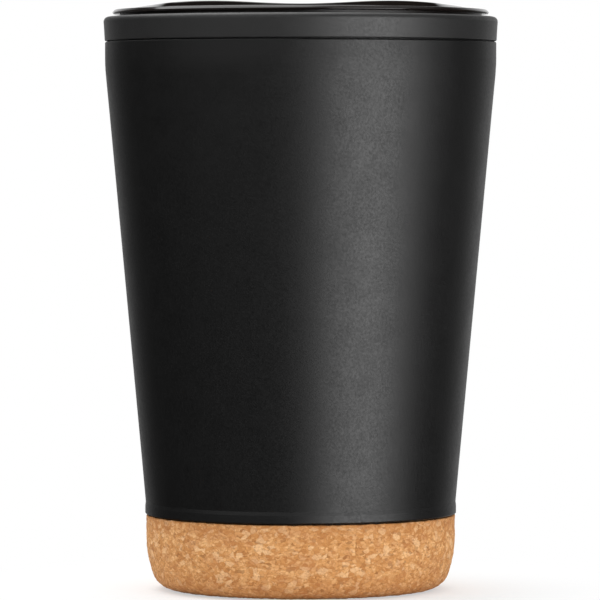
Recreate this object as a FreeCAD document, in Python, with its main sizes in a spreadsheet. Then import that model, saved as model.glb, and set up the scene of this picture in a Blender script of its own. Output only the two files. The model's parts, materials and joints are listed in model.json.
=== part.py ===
import FreeCAD, Part
import math
import os
import re

import Sketcher

# Insulated travel cup: a tapered double wall on a cork foot, closed by a push-on lid whose
# slide opens and shuts the drinking hole. Millimetres, +Z up, the origin at the middle of
# the underside. The lid is seated and its slide is open. The drinking hole faces -Y.

doc = FreeCAD.newDocument("TravelCup")

SIZES = [
    # cork foot
    ("cork_height", 16.65, "table to the top of the cork"),
    ("foot_radius", 34.63, "cork"),
    ("cork_toe", 2.35, "how far the cork draws in towards the table"),
    ("cork_flare", 8.5, "height over which it draws in"),
    ("cork_belly", 24.0, "round where the drawing in starts"),
    ("cork_round", 6.5, "round at the table"),
    ("cork_edge", 0.3, "round at the top edge"),
    ("cork_wall", 2.5, "cork around the spigot"),
    ("cork_floor", 6.5, "cork under the spigot"),
    ("bond_height", 0.2, "adhesive disc"),
    ("bond_margin", 4.0, "adhesive kept back from the cork wall"),
    # outer shell
    ("shell_height", 105.6, "shell from its foot edge to the collar seam"),
    ("band_radius", 43.8, "shell just under the collar"),
    ("shell_wall", 1.8, "wall of the shell, its spigot and its floor"),
    ("foot_seam", 0.25, "shadow gap between cork and shell"),
    ("foot_lap", 0.27, "foot of the shell outside the cork"),
    ("foot_band", 1.85, "upright band at the foot of the shell"),
    ("foot_flare", 0.8, "height over which the cone flares out to the foot band"),
    ("foot_step", 0.12, "how far it flares out"),
    ("mouth_band", 5.5, "upright band under the collar"),
    ("shoulder_round", 40.0, "round between the cone and the band"),
    ("shell_edge", 0.3, "round at the outer edges of the two seams"),
    ("spigot_clearance", 0.1, "spigot in the cork, on the radius"),
    ("tongue_height", 2.8, "tongue of the shell inside the collar"),
    ("tongue_wall", 1.2, "wall of the tongue"),
    # rim collar and gasket
    ("collar_proud", 0.38, "collar outside the shell band"),
    ("collar_draft", 0.32, "collar narrower at its lower edge"),
    ("collar_wall", 1.5, "skirt of the collar"),
    ("collar_plate", 1.5, "top of the collar over the liner"),
    ("collar_seam", 0.2, "shadow gap between shell and collar"),
    ("collar_round", 1.1, "round at the outer top edge"),
    ("lip_round", 0.6, "round at the mouth"),
    ("snap_clearance", 0.1, "tongue in the collar, on the radius"),
    ("gasket_height", 0.7, "gasket between tongue and liner"),
    ("gasket_clearance", 0.3, "gasket outside the liner, on the radius"),
    # inner liner and its rest pad
    ("liner_wall", 0.6, "sheet steel of the liner"),
    ("rim_air", 1.48, "air between tongue and liner, on the radius"),
    ("foot_air", 1.6, "air between spigot and liner, on the radius"),
    ("mouth_depth", 9.9, "upright part of the liner under its flange"),
    ("liner_round", 5.0, "inner round at the bottom of the liner"),
    ("flange_clearance", 0.3, "liner flange in the collar, on the radius"),
    ("pad_height", 1.5, "pad under the liner"),
    ("pad_radius", 18.0, "pad under the liner"),
    # lid cover
    ("seat_gap", 0.02, "lid shoulder above the collar"),
    ("lid_inset", 1.98, "lid flange inside the collar edge"),
    ("lid_gap", 0.6, "shadow gap between collar and lid flange"),
    ("flange_height", 0.95, "lid flange"),
    ("flange_bevel", 0.6, "bevel of the upper flange edge"),
    ("flange_draft", 0.25, "lower flange edge inside the widest line of the flange"),
    ("flange_edge", 0.15, "round of the lower flange edge"),
    ("raise_inset", 2.7, "foot of the raised form inside the flange edge"),
    ("raise_height", 1.6, "raised form before its saddle is cut"),
    ("crest_inset", 0.54, "crest of the raised form inside its foot, front and back"),
    ("saddle_radius", 550.0, "saddle of the top, across the cup"),
    ("saddle_low", 0.4, "lowest line of the saddle above the flange"),
    ("ridge_inset", 6.5, "sides of the raised form and its tray inside the tray's round wall"),
    ("ridge_bow", 300.0, "bow of each crest, as seen from above"),
    ("ridge_corner", 6.0, "corners of the raised form"),
    ("tray_lip", 1.5, "wall around the tray"),
    ("tray_depth", 3.4, "tray floor below the flange top"),
    ("tray_floor", 1.6, "floor of the tray"),
    ("tray_clearance", 0.2, "tray inside the plug, on the radius"),
    # lid plug and seal
    ("plug_clearance", 0.8, "plug in the mouth, on the radius"),
    ("plug_wall", 1.8, "upper wall of the plug"),
    ("plug_ledge", 1.1, "ledge inside the plug that carries the tray"),
    ("plug_depth", 10.5, "plug below the collar top"),
    ("plug_round", 0.8, "round at the lower edge of the plug"),
    ("neck_step", 2.0, "shoulder outside the plug"),
    ("groove_depth", 1.1, "seal groove"),
    ("groove_height", 3.2, "seal groove"),
    ("groove_drop", 4.3, "top of the groove below the collar top"),
    ("seal_clearance", 0.1, "seal in its groove"),
    ("seal_proud", 0.2, "seal outside the plug"),
    ("fin_clearance", 0.25, "seal fins in the mouth, on the radius"),
    ("fin_half", 0.5, "half the height of a seal fin"),
    # openings of the tray
    ("sip_length", 17.0, "drinking hole across the cup"),
    ("sip_width", 6.4, "drinking hole"),
    ("sip_corner", 3.0, "corners of the drinking hole"),
    ("sip_margin", 2.8, "drinking hole inside the tray wall"),
    ("vent_radius", 1.25, "air hole"),
    ("vent_margin", 6.0, "air hole inside the tray wall"),
    # slide
    ("slide_travel", 13.0, "slide from shut to open"),
    ("slide_length", 36.5, "slide plate"),
    ("slide_width", 21.0, "slide plate"),
    ("slide_height", 1.65, "slide plate"),
    ("slide_corner", 4.0, "corners of the slide plate"),
    ("slide_margin", 1.4, "shut slide inside the tray wall"),
    ("slide_clearance", 0.15, "slide above the tray floor"),
    ("slide_edge", 0.4, "round at the top edge of the slide"),
    ("grip_length", 15.0, "finger grip across the slide"),
    ("grip_width", 5.0, "finger grip"),
    ("grip_corner", 2.3, "corners of the finger grip"),
    ("grip_height", 1.7, "finger grip above the plate"),
    ("grip_back", 25.0, "middle of the grip behind the front of the slide"),
    ("grip_round", 0.9, "round at the top of the grip"),
    ("stem_width", 5.4, "stem of the slide"),
    ("stem_length", 6.9, "stem of the slide"),
    ("stem_back", 18.35, "middle of the stem behind the front of the slide"),
    ("stem_clearance", 0.3, "stem in its slot, on each side"),
    ("barb_reach", 0.5, "barb outside the stem"),
    ("barb_height", 0.65, "barb under the keeper"),
    ("keeper_width", 14.0, "keeper plate"),
    ("keeper_length", 16.0, "keeper plate"),
    ("keeper_height", 1.4, "keeper plate"),
    ("keeper_corner", 2.0, "corners of the keeper"),
    ("keeper_clearance", 0.2, "keeper below the tray"),
    ("keeper_fit", 0.1, "stem in the keeper, on each side"),
    ("barb_clearance", 0.05, "barb below the keeper"),
    ("stopper_lap", 0.6, "stopper outside the drinking hole"),
    ("stopper_height", 0.75, "stopper"),
    ("stopper_sink", 0.7, "recess of the stopper in the slide"),
    ("stopper_fit", 0.1, "stopper in its recess, on each side"),
]

sheet = doc.addObject("Spreadsheet::Sheet", "Sizes")
for row, (name, size, meaning) in enumerate(SIZES, start=1):
    sheet.set(f"A{row}", meaning)
    sheet.set(f"B{row}", str(size))
    sheet.setAlias(f"B{row}", name)
doc.recompute()

ALIASES = re.compile(r"\b(" + "|".join(name for name, size, meaning in SIZES) + r")\b")
NEAR = 1e-4


def bound(expression):
    """The expression as other objects of the document write it."""
    return ALIASES.sub(r"Sizes.\1", expression)


def value(expression):
    """The number that an expression of sheet names comes to now."""
    return float(sheet.evalExpression(bound(expression)))


# Heights of the cup and radii around its axis, each from the sizes above.
cork_bore = "(foot_radius - cork_wall)"
spigot_radius = f"({cork_bore} - spigot_clearance)"
spigot_inner = f"({spigot_radius} - shell_wall)"
spigot_foot = "(cork_floor + bond_height)"
shell_floor = f"({spigot_foot} + shell_wall)"
shell_foot = "(cork_height + foot_seam)"
band_z = f"({shell_foot} + foot_band)"
crease_z = f"({band_z} + foot_flare)"
shell_top = f"({shell_foot} + shell_height)"
shoulder_z = f"({shell_top} - mouth_band)"
foot_outer = "(foot_radius + foot_lap)"
foot_inner = f"({foot_outer} - shell_wall)"
band_inner = "(band_radius - shell_wall)"
collar_radius = "(band_radius + collar_proud)"
collar_inner = f"({collar_radius} - collar_wall)"
tongue_radius = f"({collar_inner} - snap_clearance)"
tongue_inner = f"({tongue_radius} - tongue_wall)"
tongue_top = f"({shell_top} + tongue_height)"
gasket_top = f"({tongue_top} + gasket_height)"
flange_top = f"({gasket_top} + liner_wall)"
collar_top = f"({flange_top} + collar_plate)"
mouth_outer = f"({tongue_inner} - rim_air)"
mouth_radius = f"({mouth_outer} - liner_wall)"
liner_foot = f"({shell_floor} + pad_height)"
liner_radius = f"({spigot_inner} - foot_air)"

# Heights of the lid pieces are above the collar top.
lid_seat = f"({collar_top} + seat_gap)"
lid_radius = f"({collar_radius} - lid_inset)"
lid_top = "(lid_gap + flange_height)"
raise_radius = f"({lid_radius} - raise_inset)"
crest_radius = f"({raise_radius} - crest_inset)"
tray_top = f"({lid_top} - tray_depth)"
tray_foot = f"({tray_top} - tray_floor)"
plug_radius = f"({mouth_radius} - plug_clearance)"
plug_inner = f"({plug_radius} - plug_wall)"
tray_outer = f"({plug_inner} - tray_clearance)"
tray_inner = f"({tray_outer} - tray_lip)"
ridge_half = f"({tray_outer} - ridge_inset)"
sip_y = f"(-({tray_inner} - sip_margin - sip_width / 2))"

# The slide is drawn shut, in the lid's frame.
slide_front = f"(-({tray_inner} - slide_margin))"
slide_foot = f"({tray_top} + slide_clearance)"
stem_y = f"({slide_front} + stem_back)"
keeper_top = f"({tray_foot} - keeper_clearance)"
keeper_foot = f"({keeper_top} - keeper_height)"
stem_foot = f"({keeper_foot} - barb_clearance - barb_height)"


def body(label, height="0", along="0"):
    """A new piece, its own frame raised to height and moved along Y."""
    piece = doc.addObject("PartDesign::Body", label)
    piece.Label = label
    piece.setExpression("Placement.Base.z", bound(height))
    piece.setExpression("Placement.Base.y", bound(along))
    return piece


def drawing(piece, plane, height="0"):
    """An empty sketch on an origin plane of the piece, lifted to height."""
    sketch = piece.newObject("Sketcher::SketchObject", f"{piece.Label}_sketch")
    origin_plane = next(item for item in piece.Origin.OriginFeatures if item.Role == plane)
    sketch.AttachmentSupport = [(origin_plane, "")]
    sketch.MapMode = "FlatFace"
    sketch.setExpression("AttachmentOffset.Base.z", bound(height))
    return sketch


def tie(sketch, constraint, expression):
    index = sketch.addConstraint(constraint)
    sketch.setExpression(f"Constraints[{index}]", bound(expression))


def place(sketch, edge, point, x, y):
    """Ties a point of a sketch edge to its two coordinates."""
    for kind, expression, axis in (("DistanceX", x, -2), ("DistanceY", y, -1)):
        size = value(expression)
        if abs(size) < NEAR:
            sketch.addConstraint(Sketcher.Constraint("PointOnObject", edge, point, axis))
        else:
            tie(sketch, Sketcher.Constraint(kind, -1, 1, edge, point, size), expression)


def arc_between(start, end, radius):
    """The shorter arc from start to end, turning left, as seen from above the sketch."""
    chord = end - start
    middle = (start + end) * 0.5
    leftward = FreeCAD.Vector(-chord.y, chord.x, 0).normalize()
    rise = math.sqrt(max(radius ** 2 - (chord.Length / 2) ** 2, 0))
    centre = middle + leftward * rise
    first = math.atan2(start.y - centre.y, start.x - centre.x)
    last = math.atan2(end.y - centre.y, end.x - centre.x)
    if last < first:
        last += 2 * math.pi
    circle = Part.Circle(centre, FreeCAD.Vector(0, 0, 1), radius)
    return Part.ArcOfCircle(circle, first, last)


def outline(piece, plane, corners, arcs=None, height="0"):
    """A closed sketch through corners; arcs gives the radius of the edges that are round."""
    sketch = drawing(piece, plane, height)
    arcs = arcs or {}
    points = [FreeCAD.Vector(value(x), value(y), 0) for x, y in corners]
    for edge, start in enumerate(points):
        end = points[(edge + 1) % len(points)]
        if edge in arcs:
            sketch.addGeometry(arc_between(start, end, value(arcs[edge])))
        else:
            sketch.addGeometry(Part.LineSegment(start, end))
    for edge, (x, y) in enumerate(corners):
        following = (edge + 1) % len(points)
        sketch.addConstraint(Sketcher.Constraint("Coincident", edge, 2, following, 1))
        place(sketch, edge, 1, x, y)
    for edge, radius in arcs.items():
        tie(sketch, Sketcher.Constraint("Radius", edge, value(radius)), radius)
    return sketch


def ring(piece, plane, radius, x="0", y="0", height="0"):
    """A sketch of one circle."""
    sketch = drawing(piece, plane, height)
    centre = FreeCAD.Vector(value(x), value(y), 0)
    sketch.addGeometry(Part.Circle(centre, FreeCAD.Vector(0, 0, 1), value(radius)))
    place(sketch, 0, 3, x, y)
    tie(sketch, Sketcher.Constraint("Radius", 0, value(radius)), radius)
    return sketch


def rounded_box(piece, width, length, corner, y, height):
    """A sketch of a rectangle about (0, y) with round corners."""
    side = f"({width} / 2)"
    back = f"({y} + {length} / 2)"
    front = f"({y} - {length} / 2)"
    corners = [
        (f"(-{side} + {corner})", front),
        (f"({side} - {corner})", front),
        (side, f"({front} + {corner})"),
        (side, f"({back} - {corner})"),
        (f"({side} - {corner})", back),
        (f"(-{side} + {corner})", back),
        (f"(-{side})", f"({back} - {corner})"),
        (f"(-{side})", f"({front} + {corner})"),
    ]
    arcs = {1: corner, 3: corner, 5: corner, 7: corner}
    return outline(piece, "XY_Plane", corners, arcs, height)


def plain_box(piece, width, length, y, height):
    """A sketch of a rectangle about (0, y)."""
    back = f"({y} + {length} / 2)"
    front = f"({y} - {length} / 2)"
    corners = [
        (f"(-{width} / 2)", front),
        (f"({width} / 2)", front),
        (f"({width} / 2)", back),
        (f"(-{width} / 2)", back),
    ]
    return outline(piece, "XY_Plane", corners, height=height)


def turned(piece, corners, arcs=None):
    """Turns a half section about the axis of the cup."""
    sketch = outline(piece, "XZ_Plane", corners, arcs)
    turn = piece.newObject("PartDesign::Revolution", f"{piece.Label}_turn")
    turn.Profile = sketch
    turn.ReferenceAxis = (sketch, ["V_Axis"])
    turn.Angle = 360
    return turn


def raised(piece, sketch, length):
    """Pads a sketch upwards."""
    pad = piece.newObject("PartDesign::Pad", f"{piece.Label}_pad")
    pad.Profile = sketch
    pad.setExpression("Length", bound(length))
    return pad


def cut(piece, sketch, length, both_ways=False):
    """Cuts a sketch out of the piece, upwards or both ways."""
    doc.recompute()
    before = piece.Shape.Volume
    pocket = piece.newObject("PartDesign::Pocket", f"{piece.Label}_cut")
    pocket.Profile = sketch
    pocket.Reversed = True
    pocket.Midplane = both_ways
    pocket.setExpression("Length", bound(length))
    doc.recompute()
    assert piece.Shape.Volume < before - NEAR, f"{piece.Label}: a cut removes nothing"
    return pocket


def rounded(piece, radius, chosen):
    """Fillets the edges of the piece that chosen picks."""
    doc.recompute()
    base = piece.Tip
    names = [f"Edge{n}" for n, edge in enumerate(base.Shape.Edges, start=1) if chosen(edge)]
    assert names, f"{piece.Label}: no edge to round"
    fillet = piece.newObject("PartDesign::Fillet", f"{piece.Label}_round")
    fillet.Base = (base, names)
    fillet.setExpression("Radius", bound(radius))
    return fillet


def circle_at(*places):
    """Picks the full circles about the axis at the given radii and heights."""
    wanted = [(value(radius), value(height)) for radius, height in places]

    def chosen(edge):
        if not isinstance(edge.Curve, Part.Circle):
            return False
        centre = edge.Curve.Center
        on_axis = math.hypot(centre.x, centre.y) < NEAR
        return on_axis and any(
            abs(edge.Curve.Radius - radius) < NEAR and abs(centre.z - height) < NEAR
            for radius, height in wanted)

    return chosen


def level_at(height, within):
    """Picks the level edges at a height that lie inside a radius."""
    level = value(height)
    reach = value(within)

    def chosen(edge):
        box = edge.BoundBox
        flat = abs(box.ZMin - level) < NEAR and abs(box.ZMax - level) < NEAR
        return flat and max(abs(box.XMin), abs(box.XMax)) < reach + NEAR

    return chosen


def cork_base():
    """Agglomerated cork, turned, with a blind bore that takes the shell's spigot."""
    toe = "(foot_radius - cork_toe)"
    piece = body("cork_base")
    turned(piece, [
        ("0", "0"),
        (toe, "0"),
        ("foot_radius", "cork_flare"),
        ("foot_radius", "cork_height"),
        (cork_bore, "cork_height"),
        (cork_bore, "cork_floor"),
        ("0", "cork_floor"),
    ])
    rounded(piece, "cork_round", circle_at((toe, "0")))
    rounded(piece, "cork_belly", circle_at(("foot_radius", "cork_flare")))
    rounded(piece, "cork_edge", circle_at(("foot_radius", "cork_height")))
    return piece


def disc(label, radius, height, foot):
    """A plain disc about the axis."""
    piece = doc.addObject("Part::Cylinder", label)
    piece.Label = label
    piece.setExpression("Radius", bound(radius))
    piece.setExpression("Height", bound(height))
    piece.setExpression("Placement.Base.z", bound(foot))
    return piece


def outer_shell():
    """Moulded shell: spigot and floor, cone, and the tongue that the collar snaps over."""
    cone_foot = f"({foot_outer} - foot_step)"
    lean = f"(atan((band_radius - {cone_foot}) / ({shoulder_z} - {crease_z})))"
    reach = f"(shoulder_round * tan({lean} / 2))"
    piece = body("outer_shell")
    turned(piece, [
        ("0", spigot_foot),
        (spigot_radius, spigot_foot),
        (spigot_radius, shell_foot),
        (foot_outer, shell_foot),
        (foot_outer, band_z),
        (cone_foot, crease_z),
        (f"(band_radius - {reach} * sin({lean}))", f"({shoulder_z} - {reach} * cos({lean}))"),
        ("band_radius", f"({shoulder_z} + {reach})"),
        ("band_radius", shell_top),
        (tongue_radius, shell_top),
        (tongue_radius, tongue_top),
        (tongue_inner, tongue_top),
        (tongue_inner, f"({shoulder_z} + shell_wall)"),
        (band_inner, shoulder_z),
        (foot_inner, crease_z),
        (foot_inner, f"({shell_foot} + shell_wall)"),
        (spigot_inner, f"({shell_foot} + shell_wall)"),
        (spigot_inner, shell_floor),
        ("0", shell_floor),
    ], {6: "shoulder_round"})
    rounded(piece, "shell_edge", circle_at(
        (foot_outer, shell_foot), ("band_radius", shell_top)))
    return piece


def inner_liner():
    """Drawn steel cup: its flange lies on the gasket and its bottom on the pad."""
    flange_radius = f"({collar_inner} - flange_clearance)"
    mouth_low = f"({gasket_top} - mouth_depth)"
    floor_top = f"({liner_foot} + liner_wall)"
    floor_radius = f"({liner_radius} - liner_wall)"
    piece = body("inner_liner")
    turned(piece, [
        ("0", liner_foot),
        (liner_radius, liner_foot),
        (mouth_outer, mouth_low),
        (mouth_outer, gasket_top),
        (flange_radius, gasket_top),
        (flange_radius, flange_top),
        (mouth_radius, flange_top),
        (mouth_radius, mouth_low),
        (floor_radius, floor_top),
        ("0", floor_top),
    ])
    rounded(piece, "liner_round", circle_at((floor_radius, floor_top)))
    rounded(piece, "liner_round + liner_wall", circle_at((liner_radius, liner_foot)))
    return piece


def rim_gasket():
    """Silicone ring between the tongue of the shell and the flange of the liner."""
    inner = f"({mouth_outer} + gasket_clearance)"
    piece = body("rim_gasket")
    turned(piece, [
        (inner, tongue_top),
        (tongue_radius, tongue_top),
        (tongue_radius, gasket_top),
        (inner, gasket_top),
    ])
    return piece


def rim_collar():
    """Moulded ring that snaps over the tongue and holds the liner flange down."""
    skirt_foot = f"({shell_top} + collar_seam)"
    skirt_radius = f"({collar_radius} - collar_draft)"
    piece = body("rim_collar")
    turned(piece, [
        (collar_inner, skirt_foot),
        (skirt_radius, skirt_foot),
        (collar_radius, collar_top),
        (mouth_radius, collar_top),
        (mouth_radius, flange_top),
        (collar_inner, flange_top),
    ])
    rounded(piece, "collar_round", circle_at((collar_radius, collar_top)))
    rounded(piece, "lip_round", circle_at((mouth_radius, collar_top)))
    rounded(piece, "shell_edge", circle_at((skirt_radius, skirt_foot)))
    return piece


def lid_plug():
    """Moulded ring under the lid: its shoulder rests on the collar, its ledge holds the tray."""
    groove_top = "(-groove_drop)"
    groove_foot = "(-groove_drop - groove_height)"
    groove_radius = f"({plug_radius} - groove_depth)"
    ledge_radius = f"({plug_inner} - plug_ledge)"
    neck_radius = f"({plug_radius} + neck_step)"
    piece = body("lid_plug", lid_seat)
    turned(piece, [
        (ledge_radius, "(-plug_depth)"),
        (plug_radius, "(-plug_depth)"),
        (plug_radius, groove_foot),
        (groove_radius, groove_foot),
        (groove_radius, groove_top),
        (plug_radius, groove_top),
        (plug_radius, "0"),
        (neck_radius, "0"),
        (neck_radius, "lid_gap"),
        (plug_inner, "lid_gap"),
        (plug_inner, tray_foot),
        (ledge_radius, tray_foot),
    ])
    rounded(piece, "plug_round", circle_at((plug_radius, "(-plug_depth)")))
    return piece


def lid_seal():
    """Silicone ring with two fins, in the groove of the plug."""
    inner = f"({plug_radius} - groove_depth + seal_clearance)"
    outer = f"({plug_radius} + seal_proud)"
    fin = f"({mouth_radius} - fin_clearance)"
    top = "(-groove_drop - seal_clearance)"
    foot = "(-groove_drop - groove_height + seal_clearance)"
    upper = f"({top} - fin_half)"
    lower = f"({foot} + fin_half)"
    piece = body("lid_seal", lid_seat)
    turned(piece, [
        (inner, foot),
        (outer, foot),
        (fin, lower),
        (outer, f"({lower} + fin_half)"),
        (outer, f"({upper} - fin_half)"),
        (fin, upper),
        (outer, top),
        (inner, top),
    ])
    return piece


def lid_plan(radius, inset):
    """Corners and arcs of a circle whose sides, moved in by inset, bow less; corners round."""
    bow = f"(ridge_bow - {inset})"
    corner = f"(ridge_corner - {inset})"
    half = f"({ridge_half} - {inset})"
    offset = f"({bow} - {half})"
    inner = f"({radius} - {corner})"
    side = f"({bow} - {corner})"
    centre_x = f"(({side}^2 - {inner}^2 - {offset}^2) / (2 * {offset}))"
    centre_y = f"(sqrt({inner}^2 - {centre_x}^2))"
    far_x = f"({centre_x} * {radius} / {inner})"
    far_y = f"({centre_y} * {radius} / {inner})"
    side_x = f"(({centre_x} + {offset}) * {bow} / {side} - {offset})"
    side_y = f"({centre_y} * {bow} / {side})"
    corners = [
        (f"(-{far_x})", f"(-{far_y})"),
        (far_x, f"(-{far_y})"),
        (side_x, f"(-{side_y})"),
        (side_x, side_y),
        (far_x, far_y),
        (f"(-{far_x})", far_y),
        (f"(-{side_x})", side_y),
        (f"(-{side_x})", f"(-{side_y})"),
    ]
    arcs = {0: radius, 1: corner, 2: bow, 3: corner, 4: radius, 5: corner, 6: bow, 7: corner}
    return corners, arcs


def lid_cover():
    """Moulded lid: thin flange, raised form with a saddle top, and the tray sunk into it."""
    piece = body("lid_cover", lid_seat)
    edge_radius = f"({lid_radius} - flange_draft)"
    turned(piece, [
        ("0", "lid_gap"),
        (edge_radius, "lid_gap"),
        (lid_radius, f"({lid_top} - flange_bevel)"),
        (f"({lid_radius} - flange_bevel)", lid_top),
        ("0", lid_top),
    ])
    rounded(piece, "flange_edge", circle_at((edge_radius, "lid_gap")))

    crest, crest_arcs = lid_plan(crest_radius, "0")
    foot = []
    for x, y in crest:
        stretch = f"({raise_radius} / sqrt({x}^2 + {y}^2))"
        foot.append((f"({x} * {stretch})", f"({y} * {stretch})"))
    foot_arcs = {edge: raise_radius for edge in range(len(foot))}
    form = piece.newObject("PartDesign::AdditiveLoft", "raised_form")
    form.Profile = outline(piece, "XY_Plane", foot, foot_arcs, lid_top)
    form.Sections = [outline(piece, "XY_Plane", crest, crest_arcs, f"({lid_top} + raise_height)")]
    form.Ruled = True

    lowest = f"({lid_top} + saddle_low)"
    edge_rise = f"(saddle_radius - sqrt(saddle_radius^2 - {lid_radius}^2))"
    saddle = outline(piece, "XZ_Plane", [
        (f"(-{lid_radius})", f"({lowest} + {edge_rise})"),
        (lid_radius, f"({lowest} + {edge_rise})"),
        (lid_radius, f"({lowest} + {edge_rise} + raise_height)"),
        (f"(-{lid_radius})", f"({lowest} + {edge_rise} + raise_height)"),
    ], {0: "saddle_radius"})
    cut(piece, saddle, f"(2 * {lid_radius})", both_ways=True)

    tray, tray_arcs = lid_plan(tray_outer, "0")
    raised(piece, outline(piece, "XY_Plane", tray, tray_arcs, tray_foot),
           f"({lid_top} - {tray_foot})")
    hollow, hollow_arcs = lid_plan(tray_inner, "tray_lip")
    cut(piece, outline(piece, "XY_Plane", hollow, hollow_arcs, tray_top),
        "(tray_depth + raise_height)")

    through = "(2 * tray_floor)"
    below = f"({tray_foot} - tray_floor / 2)"
    cut(piece, rounded_box(piece, "sip_length", "sip_width", "sip_corner", sip_y, below),
        through)
    cut(piece, ring(piece, "XY_Plane", "vent_radius", y=f"({tray_inner} - vent_margin)",
                    height=below), through)
    slot_width = "(stem_width + 2 * stem_clearance)"
    slot_length = "(stem_length + slide_travel + 2 * stem_clearance)"
    slot_y = f"({stem_y} + slide_travel / 2)"
    cut(piece, plain_box(piece, slot_width, slot_length, slot_y, below), through)
    return piece


def slide_button():
    """Slide with a finger grip on top, a recess for the stopper and a barbed stem below."""
    piece = body("slide_button", lid_seat, "slide_travel")
    plate = rounded_box(piece, "slide_width", "slide_length", "slide_corner",
                        f"({slide_front} + slide_length / 2)", slide_foot)
    raised(piece, plate, "slide_height")
    slide_top = f"({slide_foot} + slide_height)"
    rounded(piece, "slide_edge", level_at(slide_top, "slide_width / 2"))
    grip = rounded_box(piece, "grip_length", "grip_width", "grip_corner",
                       f"({slide_front} + grip_back)", slide_foot)
    raised(piece, grip, "(slide_height + grip_height)")
    rounded(piece, "grip_round", level_at(f"({slide_top} + grip_height)", "grip_length / 2"))
    cut(piece, rounded_box(piece, "(sip_length + 2 * stopper_lap + 2 * stopper_fit)",
                           "(sip_width + 2 * stopper_lap + 2 * stopper_fit)",
                           "(sip_corner + stopper_lap + stopper_fit)", sip_y, slide_foot),
        "stopper_sink")
    raised(piece, plain_box(piece, "stem_width", "stem_length", stem_y, stem_foot),
           f"({slide_foot} - {stem_foot})")
    raised(piece, plain_box(piece, "(stem_width + 2 * barb_reach)", "stem_length", stem_y,
                            stem_foot), "barb_height")
    return piece


def sip_stopper():
    """Silicone pad in the underside of the slide; shut, it covers the drinking hole."""
    piece = body("sip_stopper", lid_seat, "slide_travel")
    pad = rounded_box(piece, "(sip_length + 2 * stopper_lap)", "(sip_width + 2 * stopper_lap)",
                      "(sip_corner + stopper_lap)", sip_y,
                      f"({slide_foot} + stopper_sink - stopper_height)")
    raised(piece, pad, "stopper_height")
    return piece


def slide_keeper():
    """Plate under the tray, pressed over the barbs of the stem, that holds the slide down."""
    piece = body("slide_keeper", lid_seat, "slide_travel")
    raised(piece, rounded_box(piece, "keeper_width", "keeper_length", "keeper_corner",
                              stem_y, keeper_foot), "keeper_height")
    cut(piece, plain_box(piece, "(stem_width + 2 * keeper_fit)",
                         "(stem_length + 2 * keeper_fit)", stem_y,
                         f"({keeper_foot} - keeper_height / 2)"), "(2 * keeper_height)")
    return piece


pieces = [
    cork_base(),
    disc("cork_bond_disc", f"{cork_bore} - bond_margin", "bond_height", "cork_floor"),
    outer_shell(),
    disc("liner_rest_pad", "pad_radius", "pad_height", shell_floor),
    inner_liner(),
    rim_gasket(),
    rim_collar(),
    lid_plug(),
    lid_seal(),
    lid_cover(),
    slide_button(),
    sip_stopper(),
    slide_keeper(),
]
doc.recompute()

for item in doc.Objects:
    assert not {"Invalid", "Error"} & set(item.State), f"{item.Label}: {item.State}"
for piece in pieces:
    shape = piece.Shape
    assert not shape.isNull() and shape.isValid(), f"{piece.Label}: no valid shape"
    assert len(shape.Solids) == 1, f"{piece.Label}: {len(shape.Solids)} solids"

os.makedirs("parts", exist_ok=True)
for piece in pieces:
    piece.Shape.exportStep(f"parts/{piece.Label}.step")
    box = piece.Shape.BoundBox
    print(f"{piece.Label}: {piece.Shape.Volume:.0f} mm3, z {box.ZMin:.2f} to {box.ZMax:.2f}, "
          f"x {box.XMin:.2f} to {box.XMax:.2f}")
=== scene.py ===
import json
import math

import bmesh
import bpy
from mathutils import Matrix, Vector, noise


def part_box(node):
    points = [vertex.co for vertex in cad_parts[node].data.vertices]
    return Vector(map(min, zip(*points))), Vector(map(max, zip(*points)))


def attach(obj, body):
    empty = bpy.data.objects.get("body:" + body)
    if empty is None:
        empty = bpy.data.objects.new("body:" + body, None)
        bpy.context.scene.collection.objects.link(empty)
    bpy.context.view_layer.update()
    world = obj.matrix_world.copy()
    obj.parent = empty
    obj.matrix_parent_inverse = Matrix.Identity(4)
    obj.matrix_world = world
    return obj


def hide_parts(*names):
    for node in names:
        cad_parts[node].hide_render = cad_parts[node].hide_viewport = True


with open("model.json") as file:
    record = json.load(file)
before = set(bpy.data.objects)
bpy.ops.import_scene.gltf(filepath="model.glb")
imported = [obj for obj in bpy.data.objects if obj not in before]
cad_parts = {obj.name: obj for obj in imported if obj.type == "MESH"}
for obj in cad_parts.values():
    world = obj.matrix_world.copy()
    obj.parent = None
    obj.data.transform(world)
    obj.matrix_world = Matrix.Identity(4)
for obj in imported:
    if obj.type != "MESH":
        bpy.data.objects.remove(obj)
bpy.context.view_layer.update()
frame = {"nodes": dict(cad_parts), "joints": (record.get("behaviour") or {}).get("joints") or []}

mm = 0.001

# Cork foot.
# A bored block of agglomerated cork: granules of bark, 0.5 to 3 mm, pressed flat with a
# binder, turned to shape and sanded. It is glued over the spigot of the shell.

crease = math.radians(40)


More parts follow.
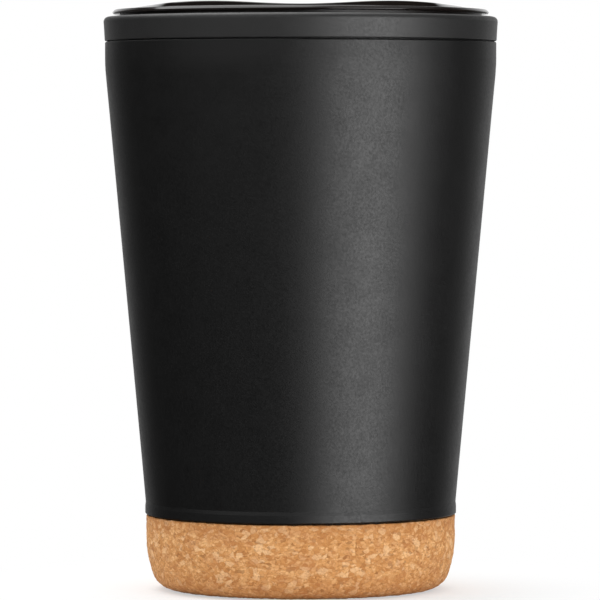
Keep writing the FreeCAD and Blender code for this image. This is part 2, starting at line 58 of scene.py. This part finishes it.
def section(corners, steps=6, hold=0.25 * mm):
    """Points of a closed (radius, height) section. A corner is (r, z) or (r, z, round).

    A point just before and after each round, hold away, keeps the flats beside it flat.
    """
    points = []
    for index, corner in enumerate(corners):
        here = Vector(corner[:2])
        before = Vector(corners[index - 1][:2]) - here
        after = Vector(corners[(index + 1) % len(corners)][:2]) - here
        size = corner[2] if len(corner) > 2 else 0.0
        if size <= 0.0:
            points.append(here)
            continue
        half = before.angle(after) / 2
        reach = min(size / math.tan(half), 0.45 * before.length, 0.45 * after.length)
        start = here + before.normalized() * reach
        end = here + after.normalized() * reach
        shoulder = min(hold, 0.08 * before.length), min(hold, 0.08 * after.length)
        points.append(start + before.normalized() * shoulder[0])
        inward = before.normalized() + after.normalized()
        middle = here + inward * (reach / (2 * math.cos(half) ** 2))
        turn = (start - middle).angle_signed(end - middle)
        for step in range(steps + 1):
            spoke = (start - middle).copy()
            angle = -turn * step / steps
            points.append(middle + Vector((
                spoke.x * math.cos(angle) - spoke.y * math.sin(angle),
                spoke.x * math.sin(angle) + spoke.y * math.cos(angle))))
        points.append(end + after.normalized() * shoulder[1])
    return points


def turned(name, columns):
    """A closed mesh of columns, each a closed section at its own angle about the axis."""
    form = bmesh.new()
    rings = []
    for index, column in enumerate(columns):
        angle = 2 * math.pi * index / len(columns)
        rings.append([form.verts.new((p.x * math.cos(angle), p.x * math.sin(angle), p.y))
                      for p in column])
    for index, ring in enumerate(rings):
        beside = rings[(index + 1) % len(rings)]
        for low in range(len(ring)):
            high = (low + 1) % len(ring)
            form.faces.new((ring[low], beside[low], beside[high], ring[high]))
    bmesh.ops.remove_doubles(form, verts=form.verts, dist=1e-7)
    bmesh.ops.recalc_face_normals(form, faces=form.faces)
    mesh = bpy.data.meshes.new(name)
    form.to_mesh(mesh)
    form.free()
    mesh.shade_smooth()
    mesh.set_sharp_from_angle(angle=crease)
    piece = bpy.data.objects.new(name, mesh)
    bpy.context.scene.collection.objects.link(piece)
    return piece


def linear(hex_colour):
    """An sRGB hex colour as the linear one that shaders take."""
    parts = [int(hex_colour[i:i + 2], 16) / 255 for i in (1, 3, 5)]
    return tuple(c / 12.92 if c <= 0.04045 else ((c + 0.055) / 1.055) ** 2.4
                 for c in parts) + (1.0,)


def new_material(name):
    """An empty node material and its tree."""
    material = bpy.data.materials.new(name)
    material.use_nodes = True
    material.node_tree.nodes.clear()
    return material, material.node_tree


def add(tree, kind, sockets=None, stops=(), **settings):
    """Adds a shader node, sets its settings and fills its sockets with values or links.

    A colour ramp also takes its stops, two or more, each a place and a hex colour.
    """
    made = tree.nodes.new("ShaderNode" + kind)
    for name, setting in settings.items():
        setattr(made, name, setting)
    for socket, source in (sockets or {}).items():
        if isinstance(source, bpy.types.NodeSocket):
            tree.links.new(source, made.inputs[socket])
        else:
            made.inputs[socket].default_value = source
    for index, (place, colour) in enumerate(stops):
        band = made.color_ramp.elements
        element = band[index] if index < len(band) else band.new(place)
        element.position = place
        element.color = linear(colour)
    return made


granule, crumb_size, flattening = 1.5 * mm, 0.75 * mm, 1.5


def agglomerated_cork():
    """Granules with dark joints between them, some pale flakes and a few dark bark specks."""
    material, tree = new_material("agglomerated_cork")
    place = add(tree, "TexCoord").outputs["Object"]
    wander = add(tree, "TexNoise", {"Vector": place, "Scale": 1 / (2.2 * mm), "Detail": 2.0})
    pull = add(tree, "VectorMath", {0: wander.outputs["Color"], 1: (0.5, 0.5, 0.5)},
               operation="SUBTRACT").outputs[0]
    pull = add(tree, "VectorMath", {0: pull, "Scale": 1.3 * mm}, operation="SCALE").outputs[0]
    bent = add(tree, "VectorMath", {0: place, 1: pull}, operation="ADD").outputs[0]
    flat = add(tree, "Mapping", {"Vector": bent, "Scale": (1.0, 1.0, flattening)}).outputs[0]

    coarse = add(tree, "TexVoronoi", {"Vector": flat, "Scale": 1 / granule})
    fine = add(tree, "TexVoronoi", {"Vector": flat, "Scale": 1 / crumb_size})
    joint = add(tree, "TexVoronoi", {"Vector": flat, "Scale": 1 / crumb_size},
                feature="DISTANCE_TO_EDGE").outputs["Distance"]
    gap = add(tree, "TexVoronoi", {"Vector": flat, "Scale": 1 / granule},
              feature="DISTANCE_TO_EDGE").outputs["Distance"]
    patch = add(tree, "TexNoise", {"Vector": flat, "Scale": 1 / (3.0 * mm), "Detail": 3.0})
    grit = add(tree, "TexNoise", {"Vector": place, "Scale": 1 / (0.35 * mm), "Detail": 3.0})

    coarse_shade = add(tree, "SeparateColor", {0: coarse.outputs["Color"]}).outputs
    fine_shade = add(tree, "SeparateColor", {0: fine.outputs["Color"]}).outputs
    body = add(tree, "ValToRGB", {"Fac": coarse_shade[0]}, stops=[
        (0.0, "#B67A46"), (0.35, "#C68B52"), (0.7, "#D3995E"), (1.0, "#E4B27B")])
    crumb = add(tree, "ValToRGB", {"Fac": fine_shade[1]}, stops=[
        (0.0, "#AE7340"), (0.5, "#D3995D"), (1.0, "#F0C48E")])
    colour = add(tree, "Mix", {"Factor": 0.5, "A": body.outputs["Color"],
                               "B": crumb.outputs["Color"]}, data_type="RGBA")

    # Coats over the granules: what each follows, from where to where, how strong, its colour.
    height = add(tree, "SeparateXYZ", {0: place}).outputs["Z"]
    pale_flakes = (coarse_shade[2], 0.86, 0.90, 0.5, "#F2CB9C")
    bark_specks = (fine_shade[0], 0.93, 0.96, 0.5, "#8A5A33")
    dull_patches = (patch.outputs["Fac"], 0.50, 0.68, 0.35, "#B5774B")
    # The lowest 6 mm of the cork darken towards the bottom edge.
    darker_toe = (height, 6 * mm, 0.0, 0.4, "#A66B3C")
    # Painted shade: the top 4 mm of the cork darken towards the shell, standing in for the shade
    # under its overhanging edge.
    painted_lip_shade = (height, 12.5 * mm, 16.5 * mm, 0.4, "#A66B3C")
    seams = (joint, 0.10, 0.0, 0.35, "#9C6437")
    for follows, low, high, strength, coat in (
            pale_flakes, bark_specks, dull_patches, darker_toe, painted_lip_shade, seams):
        share = add(tree, "MapRange", {"Value": follows, "From Min": low, "From Max": high,
                                       "To Max": strength})
        colour = add(tree, "Mix", {"Factor": share.outputs["Result"],
                                   "A": colour.outputs["Result"], "B": linear(coat)},
                     data_type="RGBA")

    # Dark cracks open here and there along the joints of the coarse granules.
    beside_gap = add(tree, "MapRange", {"Value": gap, "From Min": 0.09, "From Max": 0.0})
    broken = add(tree, "MapRange", {"Value": grit.outputs["Fac"], "From Min": 0.5,
                                    "From Max": 0.7, "To Max": 0.7})
    crack = add(tree, "Math", {0: beside_gap.outputs["Result"], 1: broken.outputs["Result"]},
                operation="MULTIPLY")
    colour = add(tree, "Mix", {"Factor": crack.outputs[0], "A": colour.outputs["Result"],
                               "B": linear("#6F421F")}, data_type="RGBA")

    coarse_relief = add(tree, "MapRange", {"Value": gap, "From Min": 0.0, "From Max": 0.2})
    fine_relief = add(tree, "MapRange", {"Value": joint, "From Min": 0.0, "From Max": 0.3,
                                         "To Max": 0.6})
    relief = add(tree, "Math", {0: coarse_relief.outputs["Result"],
                                1: fine_relief.outputs["Result"]}, operation="ADD")
    relief = add(tree, "Math", {0: relief.outputs[0], 1: grit.outputs["Fac"]}, operation="ADD")
    bump = add(tree, "Bump", {"Strength": 0.35, "Distance": 0.08 * mm,
                              "Height": relief.outputs[0]})
    surface = add(tree, "BsdfPrincipled", {
        "Base Color": colour.outputs["Result"], "Roughness": 0.85, "IOR": 1.45,
        "Specular IOR Level": 0.25, "Normal": bump.outputs["Normal"]})
    add(tree, "OutputMaterial", {"Surface": surface.outputs["BSDF"]})
    return material


low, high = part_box("cork_base")
radius, top = high.x, high.z
bore, bore_floor = radius - 2.5 * mm, 6.5 * mm
toe, toe_round, flare, flare_round = 2.35 * mm, 6.5 * mm, 8.5 * mm, 24 * mm
edge_round = 0.3 * mm
outline = section([
    (0.0, bore_floor),
    (0.0, 0.0),
    (radius - toe, 0.0, toe_round),
    (radius, flare, flare_round),
    (radius, top, edge_round),
    (bore, top, edge_round),
    (bore, bore_floor),
], steps=12)

# The faces that show are divided finely enough to carry the relief of the granules.
spacing, columns = 0.4 * mm, 540
dense = []
for here, there in zip(outline, outline[1:] + outline[:1]):
    visible = max(here.x, there.x) > bore + 0.1 * mm or here.y + there.y < mm
    parts = max(1, round((there - here).length / spacing)) if visible else 1
    dense += [here.lerp(there, part / parts) for part in range(parts)]
cork = turned("cork_foot", [dense] * columns)

# The sanded face is not smooth: each granule stands a little off its neighbours. The seed
# gives the same granules each time.
pit, seam_width, lift_share = 0.09 * mm, 0.25, 0.6
bend_scale, bend_reach, shuffle = 0.8, 0.5, 7.3
noise.seed_set(5)
outward = [vertex.normal.copy() for vertex in cork.data.vertices]
for vertex, normal in zip(cork.data.vertices, outward):
    spot = Vector((vertex.co.x, vertex.co.y, vertex.co.z * flattening)) / granule
    spot += noise.noise_vector(spot * bend_scale) * bend_reach
    distances, centres = noise.voronoi(spot)
    edge = min(1.0, (distances[1] - distances[0]) / seam_width)
    lift = noise.cell(centres[0] * shuffle)
    vertex.co -= normal * pit * (1.0 - edge + lift_share * lift)
    vertex.co.z = max(vertex.co.z, 0.0)
cork.data.materials.append(agglomerated_cork())
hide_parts("cork_base")
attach(cork, "cup")

# Bond disc and rest pad.
# A film of cured adhesive holds the cork under the spigot, and a moulded silicone pad inside
# the shell carries the bottom of the steel liner. Neither is seen once the cup is closed.


def cured_adhesive():
    """Clear amber adhesive film, a little cloudy where it set unevenly."""
    material, tree = new_material("cured_adhesive")
    place = add(tree, "TexCoord").outputs["Object"]
    cloud = add(tree, "TexNoise", {"Vector": place, "Scale": 1 / (6 * mm), "Detail": 3.0})
    colour = add(tree, "ValToRGB", {"Fac": cloud.outputs["Fac"]},
                 stops=[(0.3, "#B9A77E"), (0.7, "#CFC3A2")])
    surface = add(tree, "BsdfPrincipled", {"Base Color": colour.outputs["Color"],
                                           "Roughness": 0.35, "IOR": 1.5})
    add(tree, "OutputMaterial", {"Surface": surface.outputs["BSDF"]})
    return material


def moulded_silicone():
    """Dull, slightly dusty silicone rubber with a fine spark-eroded texture."""
    material, tree = new_material("moulded_silicone")
    place = add(tree, "TexCoord").outputs["Object"]
    grain = add(tree, "TexNoise", {"Vector": place, "Scale": 1 / (0.25 * mm), "Detail": 2.0})
    cloud = add(tree, "TexNoise", {"Vector": place, "Scale": 1 / (7 * mm), "Detail": 2.0})
    colour = add(tree, "ValToRGB", {"Fac": cloud.outputs["Fac"]},
                 stops=[(0.35, "#1D1D1E"), (0.65, "#242425")])
    bump = add(tree, "Bump", {"Strength": 0.2, "Distance": 0.01 * mm,
                              "Height": grain.outputs["Fac"]})
    surface = add(tree, "BsdfPrincipled", {
        "Base Color": colour.outputs["Color"], "Roughness": 0.62, "IOR": 1.41,
        "Sheen Weight": 0.08, "Normal": bump.outputs["Normal"]})
    add(tree, "OutputMaterial", {"Surface": surface.outputs["BSDF"]})
    return material


def finish_node(node, material):
    """Gives a CAD node its finish."""
    piece = frame["nodes"][node]
    piece.data.materials.clear()
    piece.data.materials.append(material)


silicone = moulded_silicone()
finish_node("cork_bond_disc", cured_adhesive())
finish_node("liner_rest_pad", silicone)

# Outer shell.
# Injection-moulded polypropylene, black through and through. The mould is spark eroded, so
# the skin is matt with a very fine grain, and handling leaves it slightly uneven in gloss.


def matt_polypropylene(name, colours, roughness, specular):
    """Black polypropylene from a textured mould: fine grain and faint rubbed patches.

    The real grain is under 0.1 mm, too fine to show, so it is drawn at 0.5 mm.
    """
    material, tree = new_material(name)
    place = add(tree, "TexCoord").outputs["Object"]
    grain = add(tree, "TexNoise", {"Vector": place, "Scale": 1 / (0.5 * mm), "Detail": 3.0})
    rubbed = add(tree, "TexNoise", {"Vector": place, "Scale": 1 / (6 * mm), "Detail": 4.0})
    uneven = add(tree, "Mix", {"Factor": 0.75, "A": rubbed.outputs["Fac"],
                               "B": grain.outputs["Fac"]}).outputs["Result"]
    colour = add(tree, "ValToRGB", {"Fac": uneven},
                 stops=[(0.35, colours[0]), (0.65, colours[1])])
    gloss = add(tree, "MapRange", {
        "Value": uneven, "From Min": 0.35, "From Max": 0.65,
        "To Min": roughness - 0.06, "To Max": roughness + 0.06}).outputs["Result"]
    bump = add(tree, "Bump", {"Strength": 0.4, "Distance": 0.03 * mm,
                              "Height": grain.outputs["Fac"]})
    surface = add(tree, "BsdfPrincipled", {
        "Base Color": colour.outputs["Color"], "Roughness": gloss, "IOR": 1.49,
        "Specular IOR Level": specular, "Normal": bump.outputs["Normal"]})
    add(tree, "OutputMaterial", {"Surface": surface.outputs["BSDF"]})
    return material


shell_black = matt_polypropylene("matt_polypropylene", ("#010101", "#090909"), 0.52, 0.90)
finish_node("outer_shell", shell_black)

# Inner liner.
# Stainless steel sheet drawn to a cup, its inside brushed round and round on a lathe, which
# leaves fine rings and a highlight that fans out across them.


def brushed_stainless():
    """Stainless steel brushed in rings; its highlights spread across the strokes.

    The real strokes are under 0.1 mm wide, too fine to show, so they are drawn at 0.8 mm.
    """
    material, tree = new_material("brushed_stainless")
    place = add(tree, "TexCoord").outputs["Object"]
    rings = add(tree, "Mapping", {"Vector": place, "Scale": (0.02, 0.02, 1.0)}).outputs[0]
    stroke = add(tree, "TexNoise", {"Vector": rings, "Scale": 1 / (0.8 * mm), "Detail": 4.0})
    colour = add(tree, "ValToRGB", {"Fac": stroke.outputs["Fac"]},
                 stops=[(0.3, "#C9C8C5"), (0.7, "#E9E8E5")])
    gloss = add(tree, "MapRange", {
        "Value": stroke.outputs["Fac"], "From Min": 0.3, "From Max": 0.7,
        "To Min": 0.30, "To Max": 0.42}).outputs["Result"]
    bump = add(tree, "Bump", {"Strength": 0.4, "Distance": 0.02 * mm,
                              "Height": stroke.outputs["Fac"]})
    along = add(tree, "Tangent", direction_type="RADIAL", axis="Z")
    surface = add(tree, "BsdfPrincipled", {
        "Base Color": colour.outputs["Color"], "Metallic": 1.0, "Roughness": gloss,
        "Anisotropic": 0.6, "Tangent": along.outputs[0], "Normal": bump.outputs["Normal"]})
    add(tree, "OutputMaterial", {"Surface": surface.outputs["BSDF"]})
    return material


finish_node("inner_liner", brushed_stainless())

# Rim gasket and collar.
# A silicone ring seals the liner flange, and a moulded polypropylene collar snaps over the
# tongue of the shell and holds both down. It is the same black plastic as the shell; its
# lighter colours are painted fill light.

finish_node("rim_gasket", silicone)
# Painted light: the collar's colours are lifted above the shell's black to stand in for fill
# light.
collar_painted_fill = matt_polypropylene("polypropylene_painted_fill", ("#1E1E1E", "#222222"), 0.52, 0.88)
finish_node("rim_collar", collar_painted_fill)

# Lid cover.
# Moulded in one piece from dark smoke copolyester in a polished mould, so it is glossy and
# nearly black with a touch of brown. A raised form with a wavy top surrounds a sunk tray.


def smoke_copolyester(name, roughness):
    """Dark smoke plastic with faint wiping marks in its gloss."""
    material, tree = new_material(name)
    place = add(tree, "TexCoord").outputs["Object"]
    cloud = add(tree, "TexNoise", {"Vector": place, "Scale": 1 / (12 * mm), "Detail": 3.0})
    colour = add(tree, "ValToRGB", {"Fac": cloud.outputs["Fac"]},
                 stops=[(0.35, "#15100E"), (0.65, "#19130F")])
    gloss = add(tree, "MapRange", {
        "Value": cloud.outputs["Fac"], "From Min": 0.3, "From Max": 0.7,
        "To Min": roughness - 0.03, "To Max": roughness + 0.03}).outputs["Result"]
    surface = add(tree, "BsdfPrincipled", {"Base Color": colour.outputs["Color"],
                                           "Roughness": gloss, "IOR": 1.55})
    add(tree, "OutputMaterial", {"Surface": surface.outputs["BSDF"]})
    return material


def plan_radius(angle, arc, inset):
    """Distance from the axis, at an angle, to a circle with two flatter sides.

    The sides have the bow of the ridges, moved in by inset, and meet the circle in round
    corners.
    """
    along = Vector((abs(math.cos(angle)), abs(math.sin(angle))))
    bow, corner = ridge_bow - inset, ridge_corner - inset
    offset = ridge_bow - ridge_half
    inner, side = arc - corner, bow - corner
    centre = Vector(((side ** 2 - inner ** 2 - offset ** 2) / (2 * offset), 0.0))
    centre.y = math.sqrt(inner ** 2 - centre.x ** 2)
    slope = along.y / max(along.x, 1e-9)
    if slope >= centre.y / centre.x:
        return arc
    if slope <= centre.y * bow / ((centre.x + offset) * bow - offset * side):
        return math.sqrt(bow ** 2 - (offset * along.y) ** 2) - offset * along.x
    foot = centre.dot(along)
    return foot + math.sqrt(corner ** 2 - centre.length_squared + foot ** 2)


low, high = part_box("lid_cover")
flange_radius = high.x
flange_height, flange_bevel, flange_draft = 0.95 * mm, 0.6 * mm, 0.25 * mm
under_round, bevel_round = 0.15 * mm, 0.2 * mm
tray_depth, tray_floor = 3.4 * mm, 1.6 * mm
flange_top = low.z + tray_floor + tray_depth
raise_inset, crest_inset, raise_height = 2.7 * mm, 0.54 * mm, 1.6 * mm
raise_radius = flange_radius - raise_inset
crest_radius = raise_radius - crest_inset
wave_low, wave_height, wave_half = 0.4 * mm, 0.8 * mm, 21 * mm
tray_outer, tray_lip = 36.5 * mm, 1.5 * mm
tray_inner = tray_outer - tray_lip
ridge_inset, ridge_bow, ridge_corner = 6.5 * mm, 300 * mm, 6 * mm
ridge_half = tray_outer - ridge_inset
under_tray_round, crest_round, tray_round = 0.5 * mm, 0.4 * mm, 0.6 * mm
tray_band = 1.2 * mm


def wave_rise(distance, angle):
    """Height of the wave over the flange: lowest at the middle, highest at wave_half."""
    across = distance * math.cos(angle)
    return wave_low + wave_height * math.sin(math.pi / 2 * across / wave_half) ** 2


def cover_section(angle):
    """Section of the cover, less the middle of its tray, at an angle about the axis."""
    outer = plan_radius(angle, tray_outer, 0.0)
    inner = plan_radius(angle, tray_inner, tray_lip)
    ridge = plan_radius(angle, crest_radius, 0.0)
    slope = raise_height / (raise_radius - ridge)
    # The crest is where the wave meets the slope of the raised form, found step by step.
    crest = ridge
    for _ in range(20):
        crest = max(ridge, raise_radius - wave_rise(crest, angle) / slope)
    floor = inner - tray_band
    return section([
        (floor, low.z),
        (outer, low.z, under_tray_round),
        (outer, flange_top - flange_height, edge_round),
        (flange_radius - flange_draft, flange_top - flange_height, under_round),
        (flange_radius, flange_top - flange_bevel, bevel_round),
        (flange_radius - flange_bevel, flange_top, edge_round),
        (raise_radius, flange_top, edge_round),
        (crest, flange_top + wave_rise(crest, angle), crest_round),
        (inner, flange_top + wave_rise(inner, angle), crest_round),
        (inner, flange_top - tray_depth, tray_round),
        (floor, flange_top - tray_depth),
    ])


sides = 480
cover = turned("lid_cover_form", [cover_section(2 * math.pi * side / sides)
                                  for side in range(sides)])
cover.data.materials.append(smoke_copolyester("polished_smoke_copolyester", 0.15))
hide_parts("lid_cover")
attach(cover, "lid")

# The tray floor has a drinking hole, an air hole opposite it and a slot for the slide's stem.
# It is a plate a hair thinner than the turned band, which it runs into by plate_overlap.
sip_length, sip_width, sip_corner, sip_margin = 17 * mm, 6.4 * mm, 3 * mm, 2.8 * mm
air_radius, air_margin = 1.25 * mm, 6 * mm
slot_width, slot_length, slot_corner = 6 * mm, 20.5 * mm, 0.8 * mm
hole_edge, plate_overlap, plate_slack = 0.2 * mm, 0.3 * mm, 0.02 * mm


def rounded_outline(width, length, corner, middle, steps=10):
    """Points round a rectangle about (0, middle) with round corners."""
    points = []
    for quarter, (side, end) in enumerate(((1, 1), (-1, 1), (-1, -1), (1, -1))):
        centre = Vector((side * (width / 2 - corner), middle + end * (length / 2 - corner)))
        for step in range(steps + 1):
            angle = math.pi / 2 * (quarter + step / steps)
            points.append(centre + corner * Vector((math.cos(angle), math.sin(angle))))
    return points


def plate_with_holes(name, outlines, height, edge):
    """Mesh of a flat plate about z = 0 inside the first outline, pierced by the others."""
    curve = bpy.data.curves.new(name, "CURVE")
    curve.dimensions = "2D"
    curve.fill_mode = "BOTH"
    curve.bevel_depth = edge
    curve.bevel_resolution = 2
    curve.extrude = height / 2 - edge
    curve.offset = -edge
    for outline in outlines:
        line = curve.splines.new("POLY")
        line.points.add(len(outline) - 1)
        for point, place in zip(line.points, outline):
            point.co = (place.x, place.y, 0.0, 1.0)
        line.use_cyclic_u = True
    drawn = bpy.data.objects.new(name, curve)
    bpy.context.scene.collection.objects.link(drawn)
    mesh = bpy.data.meshes.new_from_object(drawn)
    bpy.data.objects.remove(drawn)
    return mesh


def circle_outline(radius, middle, steps=40):
    """Points round a circle about (0, middle)."""
    angles = [2 * math.pi * step / steps for step in range(steps)]
    return [Vector((radius * math.cos(angle), middle + radius * math.sin(angle)))
            for angle in angles]


rim = []
for side in range(sides):
    angle = 2 * math.pi * side / sides
    reach = plan_radius(angle, tray_inner, tray_lip)
    reach -= tray_band - plate_overlap
    rim.append(reach * Vector((math.cos(angle), math.sin(angle))))
slide_low, slide_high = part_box("slide_keeper")
stem_middle = (slide_low.y + slide_high.y) / 2
slide_travel = next(joint["range_m"][1] for joint in frame["joints"]
                    if joint["name"] == "slide_close")
tray_plate = plate_with_holes("tray_plate", [
    rim,
    rounded_outline(sip_length, sip_width, sip_corner,
                    sip_margin + sip_width / 2 - tray_inner),
    circle_outline(air_radius, tray_inner - air_margin),
    rounded_outline(slot_width, slot_length, slot_corner, stem_middle - slide_travel / 2),
], tray_floor - plate_slack, hole_edge)
tray_plate.transform(Matrix.Translation((0, 0, low.z + tray_floor / 2)))
form = bmesh.new()
form.from_mesh(tray_plate)
bmesh.ops.remove_doubles(form, verts=form.verts, dist=1e-6)
bmesh.ops.recalc_face_normals(form, faces=form.faces)
form.from_mesh(cover.data)
form.to_mesh(cover.data)
form.free()
cover.data.shade_smooth()
cover.data.set_sharp_from_angle(angle=crease)

# Lid plug and seal.
# The plug goes into the mouth. It is moulded from the same smoke plastic in an unpolished
# mould and welded on. The silicone ring in its groove has two fins that wipe the liner.

finish_node("lid_plug", smoke_copolyester("satin_smoke_copolyester", 0.42))
finish_node("lid_seal", silicone)

# Slide, stopper and keeper.
# The slide is moulded acetal, satin and slippery, with a bar for the finger. A silicone
# stopper in its underside shuts the drinking hole and a keeper plate below holds it down.


def satin_acetal():
    """Black acetal with a waxy, satin skin."""
    material, tree = new_material("satin_acetal")
    place = add(tree, "TexCoord").outputs["Object"]
    grain = add(tree, "TexNoise", {"Vector": place, "Scale": 1 / (0.4 * mm), "Detail": 2.0})
    cloud = add(tree, "TexNoise", {"Vector": place, "Scale": 1 / (8 * mm), "Detail": 2.0})
    colour = add(tree, "ValToRGB", {"Fac": cloud.outputs["Fac"]},
                 stops=[(0.35, "#151515"), (0.65, "#191919")])
    bump = add(tree, "Bump", {"Strength": 0.1, "Distance": 0.01 * mm,
                              "Height": grain.outputs["Fac"]})
    surface = add(tree, "BsdfPrincipled", {
        "Base Color": colour.outputs["Color"], "Roughness": 0.38, "IOR": 1.48,
        "Normal": bump.outputs["Normal"]})
    add(tree, "OutputMaterial", {"Surface": surface.outputs["BSDF"]})
    return material


acetal = satin_acetal()
finish_node("slide_button", acetal)
finish_node("slide_keeper", acetal)
finish_node("sip_stopper", silicone)

# Floor and background.
# White paper keeps the shadow of the cup near its foot and turns plain white further out.
# In the cup's gloss the room is dark, with a pale ceiling and a pale wall behind the cup.


def white_paper():
    """Matt white paper that fades into the white background; reflections pass through it."""
    material, tree = new_material("white_paper")
    place = add(tree, "TexCoord").outputs["Object"]
    fibre = add(tree, "TexNoise", {"Vector": place, "Scale": 1 / (4 * mm), "Detail": 4.0})
    colour = add(tree, "ValToRGB", {"Fac": fibre.outputs["Fac"]},
                 stops=[(0.3, "#FBFBFB"), (0.7, "#FDFDFD")])
    paper = add(tree, "BsdfDiffuse", {"Color": colour.outputs["Color"]})
    clear = add(tree, "BsdfTransparent")
    white = add(tree, "Emission", {"Color": (1.0, 1.0, 1.0, 1.0)})
    distance = add(tree, "VectorMath", {0: place}, operation="LENGTH").outputs["Value"]
    fade = add(tree, "MapRange", {"Value": distance, "From Min": 30 * mm, "From Max": 85 * mm,
                                  "To Min": 0.5}, interpolation_type="SMOOTHSTEP")
    ways = add(tree, "LightPath").outputs
    factor = add(tree, "Math", {0: fade.outputs["Result"], 1: ways["Is Camera Ray"]},
                 operation="MULTIPLY").outputs[0]
    shown = add(tree, "MixShader", {0: factor, 1: paper.outputs[0], 2: white.outputs[0]})
    shown = add(tree, "MixShader", {0: ways["Is Glossy Ray"], 1: shown.outputs[0],
                                    2: clear.outputs[0]})
    add(tree, "OutputMaterial", {"Surface": shown.outputs[0]})
    return material


paper_radius, paper_drop = 6.0, 0.2 * mm
form = bmesh.new()
bmesh.ops.create_circle(form, cap_ends=True, segments=96, radius=paper_radius)
floor_mesh = bpy.data.meshes.new("paper_floor")
form.to_mesh(floor_mesh)
form.free()
floor = bpy.data.objects.new("paper_floor", floor_mesh)
bpy.context.scene.collection.objects.link(floor)
floor.location.z = -paper_drop
floor_mesh.materials.append(white_paper())

world = bpy.data.worlds.new("white_room")
bpy.context.scene.world = world
world.use_nodes = True
tree = world.node_tree
tree.nodes.clear()
wall_turn = math.radians(5)
dark_wall, pale_ceiling, room_light = 0.03, 0.45, 0.75
toward = add(tree, "TexCoord").outputs["Generated"]
behind = add(tree, "VectorMath", {0: toward, 1: (math.sin(wall_turn), math.cos(wall_turn), 0.0)},
             operation="DOT_PRODUCT").outputs["Value"]
wall = add(tree, "MapRange", {"Value": behind, "From Min": 0.65, "From Max": 1.0,
                              "To Min": dark_wall, "To Max": 1.0},
           interpolation_type="SMOOTHSTEP").outputs["Result"]
above = add(tree, "SeparateXYZ", {0: toward}).outputs["Z"]
ceiling = add(tree, "MapRange", {"Value": above, "From Min": 0.60, "From Max": 0.90,
                                 "To Max": pale_ceiling},
              interpolation_type="SMOOTHSTEP").outputs["Result"]
wall = add(tree, "Math", {0: wall, 1: ceiling}, operation="MAXIMUM").outputs[0]
ways = add(tree, "LightPath")
lit = add(tree, "Mix", {"Factor": ways.outputs["Is Glossy Ray"], "A": room_light, "B": wall})
shown = add(tree, "Mix", {"Factor": ways.outputs["Is Camera Ray"],
                          "A": lit.outputs["Result"], "B": 1.0})
glow = add(tree, "Background", {"Color": (1.0, 1.0, 1.0, 1.0),
                                "Strength": shown.outputs["Result"]})
add(tree, "OutputWorld", {"Surface": glow.outputs[0]})

# Lamps and camera.
# A large soft box stands low to the right of the camera, a weak wide one to the left, and a
# third hangs above and behind the cup. The camera is level with the cup's upper part.

lamp_aim = Vector((0.0, 0.0, 66 * mm))


def soft_box(name, azimuth, distance, height, size, radiance):
    """An area lamp aimed at the cup. Azimuth is in degrees to the right of the camera."""
    data = bpy.data.lights.new(name, "AREA")
    data.shape = "RECTANGLE"
    data.size, data.size_y = size
    data.energy = radiance * math.pi * size[0] * size[1]
    lamp = bpy.data.objects.new(name, data)
    bpy.context.scene.collection.objects.link(lamp)
    turn = math.radians(azimuth)
    lamp.location = (distance * math.sin(turn), -distance * math.cos(turn), height)
    lamp.rotation_euler = (lamp_aim - lamp.location).to_track_quat("-Z", "Y").to_euler()


soft_box("key_box", 41.5, 0.80, 0.00, (0.72, 0.60), 3.8)
soft_box("fill_box", -45, 1.00, 0.40, (1.20, 0.30), 0.9)
soft_box("top_box", -140, 0.32, 0.85, (0.90, 0.80), 2.2)

camera_data = bpy.data.cameras.new("camera")
camera_data.lens, camera_data.sensor_width = 297, 36
camera_data.clip_start = 0.05
camera = bpy.data.objects.new("camera", camera_data)
bpy.context.scene.collection.objects.link(camera)
camera_side, camera_distance, camera_height = -0.15 * mm, 1.11, 100.8 * mm
camera_aim = Vector((camera_side, 0.0, 64.7 * mm))
camera.location = (camera_side, -camera_distance, camera_height)
look = camera_aim - camera.location
camera.rotation_euler = look.to_track_quat("-Z", "Y").to_euler()
bpy.context.scene.camera = camera
bpy.context.scene.view_settings.view_transform = "Standard"
